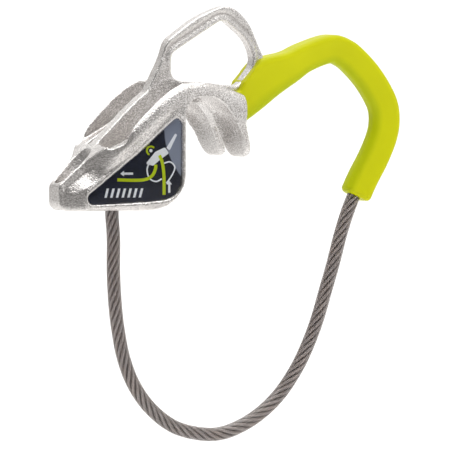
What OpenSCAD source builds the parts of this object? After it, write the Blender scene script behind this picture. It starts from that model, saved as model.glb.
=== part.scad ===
// Belay device for two ropes: a cast steel body with an anchor eye, a loop of coated
// wire rope that hangs below it, and a moulded thumb loop over the rear of that rope.
// Millimetres, +Z up. The nose points to -X, the thumb loop to +X, and the device is
// symmetric about the XZ plane. The origin is the middle of the anchor eye.

/* [Body] */
// Length of the body from the nose face to its rear wall
body_length = 57.6; // [48:0.1:70]
// Width of the body across the two label walls
body_width = 32.6; // [31:0.1:39.2]
// Depth of the underside below the origin
body_depth = 45.3; // [42:0.1:54.4]
// How far the rear wall stands behind the origin
rear_offset = 3.2; // [2.6:0.1:3.9]
// Distance from the rear wall forward to the rear end of the label walls
rear_span = 21.3; // [20:0.1:22.5]
// Width of the body where the label walls start to spread, just behind the nose
shoulder_width = 15.3; // [14:0.1:17]
// Distance from the nose face to where the label walls start to spread
shoulder_start = 6.2; // [5.6:0.1:7]
// Width of the nose's front face
nose_width = 6.6; // [6.4:0.1:9]
// Depth of the nose's upper edge below the origin
nose_depth = 37.6; // [34:0.1:40]
// Thickness of the walls that carry the labels
wall = 1.9; // [1.6:0.1:2.4]

/* [Rope slots] */
// Width of each rope slot
slot_width = 11; // [9.1:0.1:11.4]
// Thickness of the rib between the two slots
rib = 4.2; // [3.5:0.1:5.1]
// Distance from the nose face to the front end of the slots
slot_front = 12.6; // [11.4:0.1:16]
// Distance from the rear wall forward to the rear end of the slots
slot_rear = 14.2; // [12:0.1:17]
// Height of the rib at right angles to its upper edge
rib_height = 8; // [6:0.1:11]

/* [Release slot] */
// Width of the slot in the nose that takes a carabiner's tip
release_width = 4.8; // [4.2:0.1:5]
// Length of that slot along the body
release_length = 9.4; // [7:0.1:9.8]
// Distance from the nose face to the start of that slot
release_start = 1.7; // [1.5:0.1:2.4]

/* [Anchor eye] */
// Thickness of the eye's plate
eye_thickness = 3.9; // [3.2:0.1:4.8]
// Width of the band around the eye's opening
eye_band = 4.3; // [3.5:0.1:5.2]

/* [Arch and horns] */
// Length of the carabiner arch along the body
arch_length = 11.8; // [9.8:0.1:14.2]
// Depth of the arch's crown below the origin
arch_depth = 11.6; // [11:0.1:13]
// Depth of the horn tips below the origin
horn_depth = 30.2; // [27:0.1:36]
// Width of the gap between the two horns at their tips
horn_gap = 4.8; // [3:0.1:7]
// Depth of the top of the gap between the horns below the origin
gap_depth = 20.5; // [18:0.1:23]
// How far each horn's tip stands in from the side of the body
horn_inset = 3.2; // [2:0.1:4.5]
// How far the horn tips reach behind the rear wall
horn_reach = 3.2; // [2:0.1:4]

/* [Labels] */
// Width of the border between a label and the rear end of its wall
label_border = 1.5; // [1.2:0.1:2.2]
// Width of the border between a label and the underside
label_foot = 1.7; // [1.4:0.1:2.6]
// Depth of a label's top corner below the origin
label_top = 17.4; // [17:0.1:20]
// Depth of the recess that holds each label
recess_depth = 0.8; // [0.6:0.05:1]
// Clearance between a label and the wall of its recess
label_gap = 0.1; // [0.05:0.01:0.2]
// Thickness of the printed film
film = 0.2; // [0.1:0.05:0.3]
// Thickness of the clear dome at its rim
dome_rim = 0.6; // [0.4:0.05:0.8]
// How much the dome rises above its rim
dome_rise = 0.4; // [0.2:0.05:0.6]

/* [Wire rope] */
// Diameter of the bare wire rope
rope_diameter = 3.6; // [3:0.1:4.3]
// Thickness of the clear coat on the wire rope
coat = 0.25; // [0.15:0.05:0.4]
// Outer diameter of the ferrules pressed on the rope's ends
ferrule_diameter = 5.6; // [5.2:0.1:6.7]
// Length of each ferrule
ferrule_length = 9; // [7:0.1:9.6]
// Depth of the rear ferrule's socket in the rear wall
rear_socket = 5.2; // [4:0.1:5.6]
// Wall of the boss around the front ferrule
boss_wall = 1.5; // [1.2:0.1:2]
// How far the front ferrule sits above the underside
front_inset = 0.8; // [0.4:0.1:2]
// Distance from the nose face to the front ferrule's axis
front_reach = 19.9; // [18:0.1:22]
// Depth of the rear ferrule's axis below the origin
rear_axis = 13.5; // [13.2:0.1:14]

/* [Thumb loop] */
// Height of the thumb loop's tube in the plane of the loop
tube_height = 8.7; // [7.4:0.1:10]
// Width of the thumb loop's tube across the device
tube_width = 7.4; // [6.6:0.1:8.6]
// Width of the thumb loop's root across the device
root_width = 8.4; // [7.6:0.1:10]
// Corner radius of the tube's section
tube_corner = 2.3; // [1.6:0.1:3]

/* [Hidden] */
$fn = 48;

// Small overlap that lets a cut run past a face
past = 1;
nose_x = rear_offset - body_length;
half = body_width / 2;
underside = -body_depth;
slot_start_x = nose_x + slot_front;
slot_end_x = rear_offset - slot_rear;
slot_inner = rib / 2;
slot_outer = rib / 2 + slot_width;
wall_back_x = rear_offset - rear_span;
crown_left_x = wall_back_x;
crown_right_x = wall_back_x + arch_length;

// Distance from the nose face to the rear end of the label walls
wall_back = body_length - rear_span;
shoulder = shoulder_width / 2;
// The label walls spread towards the rear at this angle to the XZ plane
panel_angle = atan((half - shoulder) / (wall_back - shoulder_start));
panel_length = (wall_back - shoulder_start) / cos(panel_angle);

rope_r = rope_diameter / 2;
coat_r = rope_r + coat;
ferrule_r = ferrule_diameter / 2;
// The rope's end stops this far short of the ferrule's closed end
ferrule_end = 1.2;

// The upper edge climbs from the nose to the crest, then falls to the rear wall
crest_x = -15.4;
crest_z = -4.7;
knee_x = -27.6;
knee_z = -13.2;
rear_top_z = -11.1;

front_rope_x = nose_x + front_reach;
rear_rope_z = -rear_axis;
rear_mouth_x = rear_offset - rear_socket + ferrule_length;
front_mouth_z = underside + front_inset;

// ---- Geometry helpers ----

// The points of one rounded corner at b between a and c
function corner(a, b, c, r, n) =
    let (u = (a - b) / norm(a - b))
    let (v = (c - b) / norm(c - b))
    let (turn = acos(max(-1, min(1, u * v))))
    r <= 0 || turn > 179 ? [b] :
    let (t = min(r / tan(turn / 2), norm(a - b) * 0.49, norm(c - b) * 0.49))
    let (q = t * tan(turn / 2))
    let (m = b + (u + v) / norm(u + v) * q / sin(turn / 2))
    let (p0 = b + u * t - m)
    let (p1 = b + v * t - m)
    let (side = cross(p0, p1) < 0 ? -1 : 1)
    let (sweep = acos(max(-1, min(1, p0 * p1 / (norm(p0) * norm(p1))))))
    [for (i = [0 : n])
        let (w = side * sweep * i / n)
        m + [p0[0] * cos(w) - p0[1] * sin(w), p0[0] * sin(w) + p0[1] * cos(w)]];

// An outline of corners [x, y, radius] with every corner rounded
function rounded(c, n = 6) =
    [for (i = [0 : len(c) - 1])
        let (a = c[(i + len(c) - 1) % len(c)])
        let (b = c[i])
        let (d = c[(i + 1) % len(c)])
        each corner([a[0], a[1]], [b[0], b[1]], [d[0], d[1]], b[2], n)];

// Straight interpolation in a list of [x, value...] rows sorted by x
function row_at(rows, x, k, i = 0) =
    x <= rows[0][0] ? rows[0][k] :
    i >= len(rows) - 1 ? rows[len(rows) - 1][k] :
    x <= rows[i + 1][0] ?
        rows[i][k] + (rows[i + 1][k] - rows[i][k]) * (x - rows[i][0])
        / (rows[i + 1][0] - rows[i][0]) :
    row_at(rows, x, k, i + 1);

// A smooth curve through the points, with n steps between neighbours
function through(p, n) =
    let (last = len(p) - 1)
    concat([for (i = [0 : last - 1])
        let (a = p[max(i - 1, 0)])
        let (b = p[i])
        let (c = p[i + 1])
        let (d = p[min(i + 2, last)])
        for (k = [0 : n - 1])
            let (t = k / n)
            0.5 * (2 * b + (c - a) * t + (2 * a - 5 * b + 4 * c - d) * t * t
            + (3 * b - a - 3 * c + d) * t * t * t)], [p[last]]);

// The unit direction of a path in the XZ plane at point i
function heading(p, i) =
    let (a = p[max(i - 1, 0)])
    let (b = p[min(i + 1, len(p) - 1)])
    let (v = [b[0] - a[0], b[1] - a[1]])
    v / norm(v);

// Faces of a closed skin of rings with m points each
function skin_faces(rings, m) =
    concat([for (i = [0 : rings - 2]) for (j = [0 : m - 1])
        each [[i * m + j, i * m + (j + 1) % m, (i + 1) * m + j],
              [i * m + (j + 1) % m, (i + 1) * m + (j + 1) % m, (i + 1) * m + j]]],
        [[for (j = [m - 1 : -1 : 0]) j]],
        [[for (j = [0 : m - 1]) (rings - 1) * m + j]]);

// An outline in the XZ plane, extruded evenly to both sides of that plane
module plate(width) {
    rotate([90, 0, 0])
        linear_extrude(width, center = true)
            children();
}

// ---- The wire rope's route ----

// Points [x, z, follow] of the rope's centreline below the body; each moves with the
// front ferrule by its follow share
free_points = [[-34, -54, 1], [-34, -64, 1], [-33.5, -73, 0.95], [-32.5, -81, 0.85],
               [-30.5, -90, 0.7], [-27, -98, 0.5], [-21.5, -105, 0.3], [-14, -110.5, 0.15],
               [-6, -113, 0.05], [2, -113.5, 0], [9.5, -111.5, 0], [17, -107.5, 0],
               [23.5, -102, 0], [29, -95, 0], [33, -88, 0], [36.5, -80, 0], [39.5, -71, 0],
               [42, -63.5, 0], [44.5, -55, 0], [47, -48, 0]];
// Where the front ferrule's mouth stands for those points
front_home = [-34.5, -44.5];
// Points [x, z] of the centreline inside the thumb loop
sleeve_route = [[49.5, -42.5], [52, -37.5], [55.5, -32], [58.5, -25.5], [59.5, -20.5],
                [59, -16], [57, -12], [53.5, -7], [49.5, -3], [45.5, -0.5], [40.5, 1],
                [36, 0.2], [32, -1.5], [26.5, -4.5], [20, -8], [14, -11.5]];
front_end = [front_rope_x, front_mouth_z];
free_route = [for (p = free_points) [p[0], p[1]] + p[2] * (front_end - front_home)];
rear_end = [rear_mouth_x, rear_rope_z];
coat_route = concat([front_end, front_end - [0, 3]], free_route, sleeve_route,
                    [rear_end + [2, 0.1], rear_end]);
core_front = front_end + [0, ferrule_length - ferrule_end];
core_rear = rear_end - [ferrule_length - ferrule_end, 0];

// One closed tube of radius r along a path in the XZ plane
module tube(path, r, sides) {
    rings = len(path);
    pts = [for (i = [0 : rings - 1])
        let (h = heading(path, i))
        for (j = [0 : sides - 1])
            let (a = 360 * j / sides)
            [path[i][0] - h[1] * r * cos(a), r * sin(a), path[i][1] + h[0] * r * cos(a)]];
    polyhedron(pts, skin_faces(rings, sides), convexity = 8);
}

// ---- Body casting ----

// Upper edge of the body at x
top_rows = [[nose_x, -nose_depth], [knee_x, knee_z], [-21, -8.6], [-18, -7.4],
            [crest_x, -6.6], [-12, -6.5], [-8, -7.4], [rear_offset, rear_top_z],
            [10, -13.4]];
// Half width at the upper edge, by distance from the nose face
upper_rows = [[0, nose_width / 2], [5, 4.3], [8.2, 5], [9.7, 6.3],
              [slot_front, slot_outer - 2.9], [slot_front + 2.8, slot_outer - 0.7],
              [slot_front + 6.9, slot_outer + 1.2], [slot_front + 13.4, half - 1],
              [slot_front + 23.4, half - 0.5], [body_length, half - 0.5]];
// Half width near the underside, by distance from the nose face
lower_rows = [[0, nose_width / 2], [shoulder_start - 4.2, shoulder - 3.55],
              [shoulder_start - 2.2, shoulder - 1.65], [shoulder_start, shoulder],
              [wall_back, half], [body_length, half]];
// How far the rounding of the upper edge reaches in from the side
edge_rows = [[0, 0.5], [9, 0.7], [13, 1.5], [18, 2.4], [56, 2.6]];
// How far the wide upper band reaches below the upper edge
band_rows = [[0, 5], [8, 7.5], [18, 9.5], [27, 10], [34, 8.5], [56, 8]];
stations = concat([0, 0.8, 2, 4, 6.2, 8.2, 9.7, slot_front - 1.6, slot_front,
                   slot_front + 1.4, slot_front + 2.8, slot_front + 4.8, slot_front + 6.9],
    [for (k = [1 : 4]) slot_front + 6.9 + (wall_back - slot_front - 6.9) * k / 4],
    [for (k = [1 : 4]) wall_back + rear_span * k / 3]);

// One side of the body's cross-section at a distance from the nose face
function half_section(s) =
    let (x = nose_x + s)
    let (zt = row_at(top_rows, x, 1))
    let (yu = row_at(upper_rows, s, 1))
    let (yl = row_at(lower_rows, s, 1))
    let (drop = row_at(band_rows, s, 1))
    let (e = row_at(edge_rows, s, 1))
    [[x, yu - e, zt], [x, yu - e * 0.5, zt - e * 0.22], [x, yu - e * 0.13, zt - e * 0.75],
     [x, yu, zt - e * 1.5], [x, yu, zt - drop * 0.5],
     [x, (yu + yl) / 2, zt - drop * 0.75], [x, yl, zt - drop],
     [x, yl, underside + 1.2], [x, yl - 0.4, underside + 0.4], [x, yl - 1.2, underside]];

module body_skin() {
    half_points = 10;
    pts = [for (s = stations)
        let (h = half_section(s))
        each concat(h, [for (k = [half_points - 1 : -1 : 0]) [h[k][0], -h[k][1], h[k][2]]])];
    polyhedron(pts, skin_faces(len(stations), 2 * half_points), convexity = 6);
}

// Side view of the body: nose, upper edge, rear wall, horn, arch and label wall
module side_outline() {
    polygon(rounded([[nose_x, underside, 3], [nose_x, -nose_depth, 1.5],
        [knee_x, knee_z + 0.1, 25], [crest_x, crest_z, 11],
        [rear_offset, rear_top_z, 1.2], [rear_offset, -20, 8],
        [rear_offset + horn_reach, -horn_depth + 0.6, 1.2],
        [rear_offset + horn_reach - 1.8, -horn_depth - 0.2, 1],
        [rear_offset - 1.7, -23, 10], [rear_offset - 4.1, -17.9, 8],
        [crown_right_x, -arch_depth, 12], [crown_left_x, -arch_depth, 5.7],
        [wall_back_x, underside, 11]]));
}

// Rear view of the horns, each with a round tip, and the gap between them
module horn_outline() {
    polygon(rounded([[-half, 0, 0], [half, 0, 0], [half - 0.6, -18, 12],
        [half - horn_inset, -horn_depth, 5.5], [horn_gap / 2, -horn_depth, 3.6],
        [0.5, -gap_depth, 0.4], [-0.5, -gap_depth, 0.4], [-horn_gap / 2, -horn_depth, 3.6],
        [horn_inset - half, -horn_depth, 5.5], [0.6 - half, -18, 12]]));
}

// Side view of the rib between the slots, under the body's upper edge
module rib_outline() {
    polygon(rounded([[slot_start_x - 2, underside + 4, 0], [slot_start_x - 2, -33, 0],
        [knee_x, knee_z, 25], [-17, -5.8, 6], [slot_end_x + 2, -8, 0],
        [slot_end_x + 2, -arch_depth - 0.5, 3], [-17, -arch_depth - 1, 6],
        [knee_x + 3, knee_z - rib_height, 8], [front_rope_x + 6, underside + 12, 3],
        [front_rope_x + 4, underside + 4, 1.5]]));
}

// Plan of one rope slot at the upper edge
module slot_plan() {
    mid = (slot_inner + slot_outer) / 2;
    end_r = slot_width / 2;
    rear_r = 3;
    translate([slot_start_x + end_r, mid])
        circle(r = end_r);
    translate([slot_end_x - rear_r, slot_outer - rear_r])
        circle(r = rear_r);
    polygon([[slot_start_x + end_r, slot_inner], [slot_end_x, slot_inner],
        [slot_end_x, slot_outer - rear_r], [slot_end_x - rear_r, slot_outer],
        [slot_start_x + end_r, slot_outer]]);
}

// Plan of the pocket below one slot, inside the label wall and no wider than the slot
module pocket_plan() {
    back = wall_back_x + past;
    slope = tan(panel_angle);
    back_y = half - wall / cos(panel_angle);
    front_y = back_y - (wall_back_x - slot_start_x - 1) * slope;
    meet_x = wall_back_x - max(0.2, back_y - slot_outer) / slope;
    polygon([[slot_start_x + 1, slot_inner], [back, slot_inner], [back, slot_outer],
        [meet_x, slot_outer], [slot_start_x + 1, front_y]]);
}

module slots() {
    // Below this line the slots narrow to the pockets inside the label walls
    front_floor = row_at(top_rows, slot_start_x, 1) - 1.9;
    rear_floor = row_at(top_rows, wall_back_x, 1) - 7.6;
    for (side = [0, 1])
        mirror([0, side, 0]) {
            intersection() {
                translate([0, 0, underside])
                    linear_extrude(body_depth + past)
                        slot_plan();
                plate(body_width)
                    polygon([[slot_start_x - past, front_floor], [wall_back_x, rear_floor],
                        [wall_back_x, -horn_depth], [slot_end_x + past, -horn_depth],
                        [slot_end_x + past, past], [slot_start_x - past, past]]);
            }
            translate([0, 0, underside - past])
                linear_extrude(body_depth + 2 * past)
                    pocket_plan();
        }
}

// The slot through the nose, along the middle, for a carabiner's tip
module release_slot() {
    r = release_width / 2;
    x0 = nose_x + release_start + r;
    x1 = nose_x + release_start + release_length - r;
    translate([0, 0, underside - past])
        linear_extrude(body_depth)
            union() {
                translate([x0, 0])
                    circle(r = r);
                translate([x1, 0])
                    circle(r = r);
                translate([x0, -r])
                    square([x1 - x0, release_width]);
            }
}

eye_outer = [[-24.5, -12, 0], [-18.6, -1.4, 20], [-16.3, 5, 6], [-5.4, 12.2, 40],
             [5.3, 15.7, 7], [11.8, 10, 14], [17.8, -2.5, 6], [10.5, -12.8, 2],
             [rear_offset - 0.4, -14, 0], [-16, -14, 0]];

// The outlines of the eye are drawn for a band this wide, and a wider band takes the
// rest from the opening
drawn_band = 4.3;
eye_inset = eye_band - drawn_band;
eye_hole = [[-15.2 + eye_inset, 0.9 - eye_inset * 0.5, 3.5], [-15 + eye_inset, -6.9, 3],
            [8.1 - eye_inset, -9.2, 4], [13.8 - eye_inset, -2.3, 4.5],
            [11.8 - eye_inset, 4.1, 12], [3, 11.3 - eye_inset, 3.6]];

module eye_solid() {
    plate(eye_thickness)
        polygon(rounded(eye_outer));
}

// Places a label shape on the left wall, with x towards the rear and y up
module on_left_wall() {
    translate([wall_back_x, -half, 0])
        rotate([0, 0, -panel_angle])
            rotate([90, 0, 0])
                children();
}

// Outline of a label, smaller than its recess by the gap
module label_outline(gap) {
    rear = -label_border - gap;
    foot = underside + label_foot + gap;
    tip = -panel_length - 2.5;
    polygon(rounded([[rear - 1.2 + gap * 0.4, -label_top - gap * 1.6, 2],
        [rear, -label_top - 2 - gap * 0.4, 2], [rear, foot + 2, 6.5],
        [tip * 0.385, foot + 0.9, 20], [tip + gap * 2.4, foot, 1.8],
        [tip * 0.432 + gap * 0.6, -label_top - 10.8 - gap * 0.8, 20]]));
}

module left_recess() {
    on_left_wall()
        translate([0, 0, -recess_depth])
            linear_extrude(recess_depth + past)
                label_outline(0);
}

module ferrule_socket_front() {
    translate([front_rope_x, 0, underside - past])
        cylinder(r = ferrule_r, h = past + front_inset + ferrule_length);
}

module ferrule_socket_rear() {
    translate([rear_offset - rear_socket, 0, rear_rope_z])
        rotate([0, 90, 0])
            cylinder(r = ferrule_r, h = ferrule_length);
}

module body_casting() {
    color([0.76, 0.75, 0.73])
        difference() {
            union() {
                difference() {
                    intersection() {
                        body_skin();
                        plate(body_width)
                            side_outline();
                        union() {
                            translate([nose_x - past, -half, underside - past])
                                cube([crown_right_x - nose_x, body_width, body_depth + past]);
                            rotate([90, 0, 90])
                                translate([0, 0, crown_right_x - 2])
                                    linear_extrude(rear_offset + horn_reach + 3 - crown_right_x)
                                        horn_outline();
                        }
                    }
                    slots();
                    release_slot();
                    left_recess();
                    mirror([0, 1, 0])
                        left_recess();
                }
                plate(rib)
                    rib_outline();
                translate([front_rope_x, 0, front_mouth_z])
                    cylinder(r = ferrule_r + boss_wall, h = ferrule_length + 3);
                eye_solid();
            }
            plate(body_width)
                polygon(rounded(eye_hole));
            ferrule_socket_front();
            ferrule_socket_rear();
            tube(concat(through(coat_route, 2), [rear_end - [past, 0]]), coat_r, 12);
        }
}

// ---- Rope, coat and ferrules ----

module wire_rope() {
    path = concat([core_front], through(coat_route, 2), [core_rear]);
    color([0.55, 0.53, 0.5])
        tube(path, rope_r, 12);
}

module rope_coat() {
    path = through(coat_route, 2);
    color([0.8, 0.85, 0.9, 0.5])
        difference() {
            tube(path, coat_r, 12);
            tube(concat([front_end + [0, past]], path, [rear_end - [past, 0]]), rope_r, 12);
        }
}

// A ferrule with a blind hole for the rope, its open mouth at the local origin
module ferrule() {
    difference() {
        cylinder(r = ferrule_r, h = ferrule_length);
        translate([0, 0, -past])
            cylinder(r = rope_r, h = past + ferrule_length - ferrule_end);
    }
}

module front_ferrule() {
    color([0.7, 0.7, 0.72])
        translate([front_rope_x, 0, front_mouth_z])
            ferrule();
}

module rear_ferrule() {
    color([0.7, 0.7, 0.72])
        translate([rear_mouth_x, 0, rear_rope_z])
            rotate([0, -90, 0])
                ferrule();
}

// ---- Thumb loop ----

// Stations [x, z, half height, width share], from the root inside the rear wall outward;
// the width share goes from 1 at the root to 0 where the tube has its plain section
root_stations = [[0.6, -16.4, 6.9, 1], [6.2, -14.1, 7.1, 1], [11.7, -10.8, 7.1, 0.9],
                 [17.9, -7.2, 6.6, 0.6], [26, -4, 5.1, 0.25], [32, -1, 4.5, 0.05]];
tube_stations = [[40.3, 1.4], [45.4, 0], [49.4, -3], [53.6, -7.3], [57.1, -12.2],
                 [59.1, -16.4], [59.5, -21], [58.5, -25.6], [55.7, -31.6], [52.1, -37.6],
                 [49.3, -43]];
loop_stations = concat(root_stations,
    [for (t = tube_stations) [t[0], t[1], tube_height / 2, 0]]);
loop_path = through(loop_stations, 2);

// A rounded rectangle in ring order with four points to each corner
function loop_section(a, b, r) =
    [for (q = [0 : 3])
        let (cx = (q == 0 || q == 3 ? 1 : -1) * (a - r))
        let (cy = (q < 2 ? 1 : -1) * (b - r))
        for (k = [0 : 3])
            let (t = 90 * q + 30 * k)
            [cx + r * cos(t), cy + r * sin(t)]];

module loop_body() {
    m = 16;
    rings = len(loop_path);
    pts = [for (i = [0 : rings - 1])
        let (p = loop_path[i])
        let (h = heading(loop_path, i))
        let (b = (tube_width + (root_width - tube_width) * max(0, p[3])) / 2)
        for (q = loop_section(p[2], b, tube_corner))
            [p[0] - h[1] * q[0], q[1], p[1] + h[0] * q[0]]];
    polyhedron(pts, skin_faces(rings, m), convexity = 8);
}

// The root stops on this line, which runs down the eye's band and behind the rear wall
module root_cut() {
    polygon([[-30, 30], [16.5, 30], [16.5, 3], [15.4, -1], [12, -4.8], [9, -8],
        [7.9, -10.4], [rear_offset, -11.6], [rear_offset, -22], [-30, -40]]);
}

module thumb_loop() {
    path = through(coat_route, 2);
    color([0.78, 0.8, 0.05])
        difference() {
            loop_body();
            plate(4 * body_width)
                root_cut();
            plate(body_width)
                side_outline();
            difference() {
                eye_solid();
                plate(body_width)
                    polygon(rounded(eye_hole));
            }
            tube(path, coat_r, 12);
            translate([rear_mouth_x, 0, rear_rope_z])
                rotate([0, -90, 0])
                    cylinder(r = ferrule_r, h = ferrule_length);
        }
}

// ---- Labels ----

module film_on_left() {
    on_left_wall()
        translate([0, 0, -recess_depth])
            linear_extrude(film)
                label_outline(label_gap);
}

module dome_on_left() {
    on_left_wall()
        translate([0, 0, film - recess_depth])
            union() {
                linear_extrude(dome_rim)
                    label_outline(label_gap);
                linear_extrude(dome_rim + dome_rise * 0.6)
                    label_outline(label_gap + 0.4);
                linear_extrude(dome_rim + dome_rise)
                    label_outline(label_gap + 1.2);
            }
}

module label_film_left() {
    color([0.08, 0.1, 0.16])
        film_on_left();
}

module label_film_right() {
    color([0.08, 0.1, 0.16])
        mirror([0, 1, 0])
            film_on_left();
}

module label_dome_left() {
    color([0.2, 0.24, 0.34, 0.6])
        dome_on_left();
}

module label_dome_right() {
    color([0.2, 0.24, 0.34, 0.6])
        mirror([0, 1, 0])
            dome_on_left();
}

body_casting();
wire_rope();
rope_coat();
front_ferrule();
rear_ferrule();
thumb_loop();
label_film_left();
label_film_right();
label_dome_left();
label_dome_right();
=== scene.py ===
import math

import bmesh
import bpy
import numpy as np
from mathutils import Matrix, Vector, noise


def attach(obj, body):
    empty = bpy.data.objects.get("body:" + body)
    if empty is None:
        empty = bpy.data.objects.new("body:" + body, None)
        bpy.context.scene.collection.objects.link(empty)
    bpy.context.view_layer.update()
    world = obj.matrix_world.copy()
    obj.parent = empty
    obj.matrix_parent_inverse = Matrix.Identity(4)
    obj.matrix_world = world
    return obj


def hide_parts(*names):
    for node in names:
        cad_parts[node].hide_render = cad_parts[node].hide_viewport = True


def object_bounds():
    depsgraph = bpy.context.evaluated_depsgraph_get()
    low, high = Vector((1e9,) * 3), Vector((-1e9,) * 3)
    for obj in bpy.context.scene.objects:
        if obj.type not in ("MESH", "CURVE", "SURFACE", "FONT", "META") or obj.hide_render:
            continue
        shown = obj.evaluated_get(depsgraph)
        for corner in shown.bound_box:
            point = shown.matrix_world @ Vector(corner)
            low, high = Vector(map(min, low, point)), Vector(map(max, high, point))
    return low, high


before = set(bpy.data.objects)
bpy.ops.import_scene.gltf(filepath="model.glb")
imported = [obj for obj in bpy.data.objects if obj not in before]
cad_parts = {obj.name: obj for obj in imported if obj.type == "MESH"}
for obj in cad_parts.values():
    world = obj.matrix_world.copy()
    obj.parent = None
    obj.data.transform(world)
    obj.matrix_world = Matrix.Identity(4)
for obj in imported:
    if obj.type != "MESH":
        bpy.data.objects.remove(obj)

MM = 0.001
CAD_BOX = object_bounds()

# Looks of a belay device: a tumbled cast body, a stranded wire rope in a clear coat, a
# moulded thumb loop and two domed labels. X runs from the nose to the thumb loop and Z up,
# from the middle of the anchor eye. Shapes are worked out in millimetres in the frame's own
# axes, then brought to metres by make_piece.

# ---- Sizes and places, as the frame has them ----

REAR_X = 3.2
NOSE_X = -54.4
# The height of the nose's upper end, and the place (x, z) where the slope from it bends
# over into the top
NOSE_DEPTH = -37.6
KNEE = (-27.6, -13.2)
UNDERSIDE = -45.3
# The label walls stand this far out at their rear edge, and close in towards the nose
HALF_WIDTH = 16.3
WALL_BACK_X = -18.1
PANEL_ANGLE = math.radians(16.03)
# The label: its recess, the gap round it, the film's thickness, and the dome's height at
# its edge and rise from there
RECESS = 0.8
LABEL_GAP = 0.1
FILM = 0.2
DOME_RIM = 0.6
DOME_RISE = 0.4

ROPE_R = 1.8
COAT_R = 2.05
# How far the wire rope reaches past each ferrule's mouth
CORE_RUN = 7.8
FRONT_MOUTH = (-34.5, -44.5)
REAR_MOUTH = (7.0, -13.5)

# The rope's route as points (x, z), below the body and then inside the thumb loop
FREE_ROUTE = [(-34, -54), (-34, -64), (-33.5, -73), (-32.5, -81), (-30.5, -90),
              (-27, -98), (-21.5, -105), (-14, -110.5), (-6, -113), (2, -113.5),
              (9.5, -111.5), (17, -107.5), (23.5, -102), (29, -95), (33, -88),
              (36.5, -80), (39.5, -71), (42, -63.5), (44.5, -55), (47, -48)]
SLEEVE_ROUTE = [(49.5, -42.5), (52, -37.5), (55.5, -32), (58.5, -25.5), (59.5, -20.5),
                (59, -16), (57, -12), (53.5, -7), (49.5, -3), (45.5, -0.5), (40.5, 1),
                (36, 0.2), (32, -1.5), (26.5, -4.5), (20, -8), (14, -11.5)]
ROPE_ROUTE = [FRONT_MOUTH, (-34.5, -47.5), *FREE_ROUTE, *SLEEVE_ROUTE,
              (9, -13.4), REAR_MOUTH]

# ---- Geometry helpers ----


def through(points, n):
    """A smooth curve through the points, with n steps between neighbours."""
    p = np.array(points, float)
    p = np.vstack([p[:1], p, p[-1:]])
    t = (np.arange(n) / n)[:, None]
    out = []
    for a, b, c, d in zip(p, p[1:], p[2:], p[3:]):
        out.append(0.5 * (2 * b + (c - a) * t + (2 * a - 5 * b + 4 * c - d) * t * t
                          + (3 * b - a - 3 * c + d) * t ** 3))
    return np.vstack([*out, p[-1:]])


def evenly(points, step):
    """Points at even steps along a polyline."""
    p = np.array(points, float)
    far = np.concatenate([[0], np.cumsum(np.linalg.norm(np.diff(p, axis=0), axis=1))])
    at = np.linspace(0, far[-1], max(2, round(far[-1] / step) + 1))
    return np.column_stack([np.interp(at, far, p[:, k]) for k in range(p.shape[1])]), at


def headings(path):
    """Unit directions along a path."""
    d = np.gradient(path, axis=0)
    return d / np.linalg.norm(d, axis=1)[:, None]


def corner(a, b, c, r, n):
    """Points of a rounded corner at b, between a and c."""
    a, b, c = (np.array(p[:2], float) for p in (a, b, c))
    u = (a - b) / np.linalg.norm(a - b)
    v = (c - b) / np.linalg.norm(c - b)
    turn = math.acos(max(-1, min(1, float(u @ v))))
    if r <= 0 or turn > math.radians(179):
        return [tuple(b)]
    t = min(r / math.tan(turn / 2), np.linalg.norm(a - b) * 0.49,
            np.linalg.norm(c - b) * 0.49)
    q = t * math.tan(turn / 2)
    m = b + (u + v) / np.linalg.norm(u + v) * q / math.sin(turn / 2)
    p0 = b + u * t - m
    p1 = b + v * t - m
    side = -1 if p0[0] * p1[1] - p0[1] * p1[0] < 0 else 1
    sweep = math.pi - turn
    out = []
    for i in range(n + 1):
        w = side * sweep * i / n
        out.append((m[0] + p0[0] * math.cos(w) - p0[1] * math.sin(w),
                    m[1] + p0[0] * math.sin(w) + p0[1] * math.cos(w)))
    return out


def rounded(corners, n=8):
    """An outline of corners (x, y, radius) with every corner rounded."""
    k = len(corners)
    out = []
    for i in range(k):
        b = corners[i]
        out += corner(corners[i - 1], b, corners[(i + 1) % k], b[2], n)
    return np.array(out)


def outline_distance(points, outline):
    """Distance from each point to a closed outline, less than zero inside it."""
    best = np.full(len(points), 1e9)
    inside = np.zeros(len(points), bool)
    for a, b in zip(outline, np.roll(outline, -1, axis=0)):
        ab = b - a
        t = np.clip(((points - a) @ ab) / max(ab @ ab, 1e-12), 0, 1)
        best = np.minimum(best, np.linalg.norm(points - a - t[:, None] * ab, axis=1))
        crosses = (a[1] > points[:, 1]) != (b[1] > points[:, 1])
        rise = (b[1] - a[1]) if b[1] != a[1] else 1e-12
        reach = a[0] + (points[:, 1] - a[1]) / rise * ab[0]
        inside ^= crosses & (points[:, 0] < reach)
    return np.where(inside, -best, best)


def ramp(x, low, high):
    """A smooth step from 0 at low to 1 at high."""
    t = np.clip((x - low) / (high - low), 0, 1)
    return t * t * (3 - 2 * t)


def ring_faces(rings, m):
    """Quads between rings of m points, with a cap on each end."""
    faces = []
    for a in range(0, (rings - 1) * m, m):
        b = a + m
        faces += [(a + j, a + (j + 1) % m, b + (j + 1) % m, b + j) for j in range(m)]
    faces.append(tuple(range(m - 1, -1, -1)))
    faces.append(tuple((rings - 1) * m + j for j in range(m)))
    return faces


def swept(line, in_plane, sideways):
    """Rings of points along a line of (x, z), from their offsets in its plane and along Y."""
    head = headings(line)
    points = np.empty((*in_plane.shape, 3))
    points[:, :, 0] = line[:, :1] - head[:, 1:] * in_plane
    points[:, :, 1] = sideways
    points[:, :, 2] = line[:, 1:] + head[:, :1] * in_plane
    return points.reshape(-1, 3)


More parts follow.
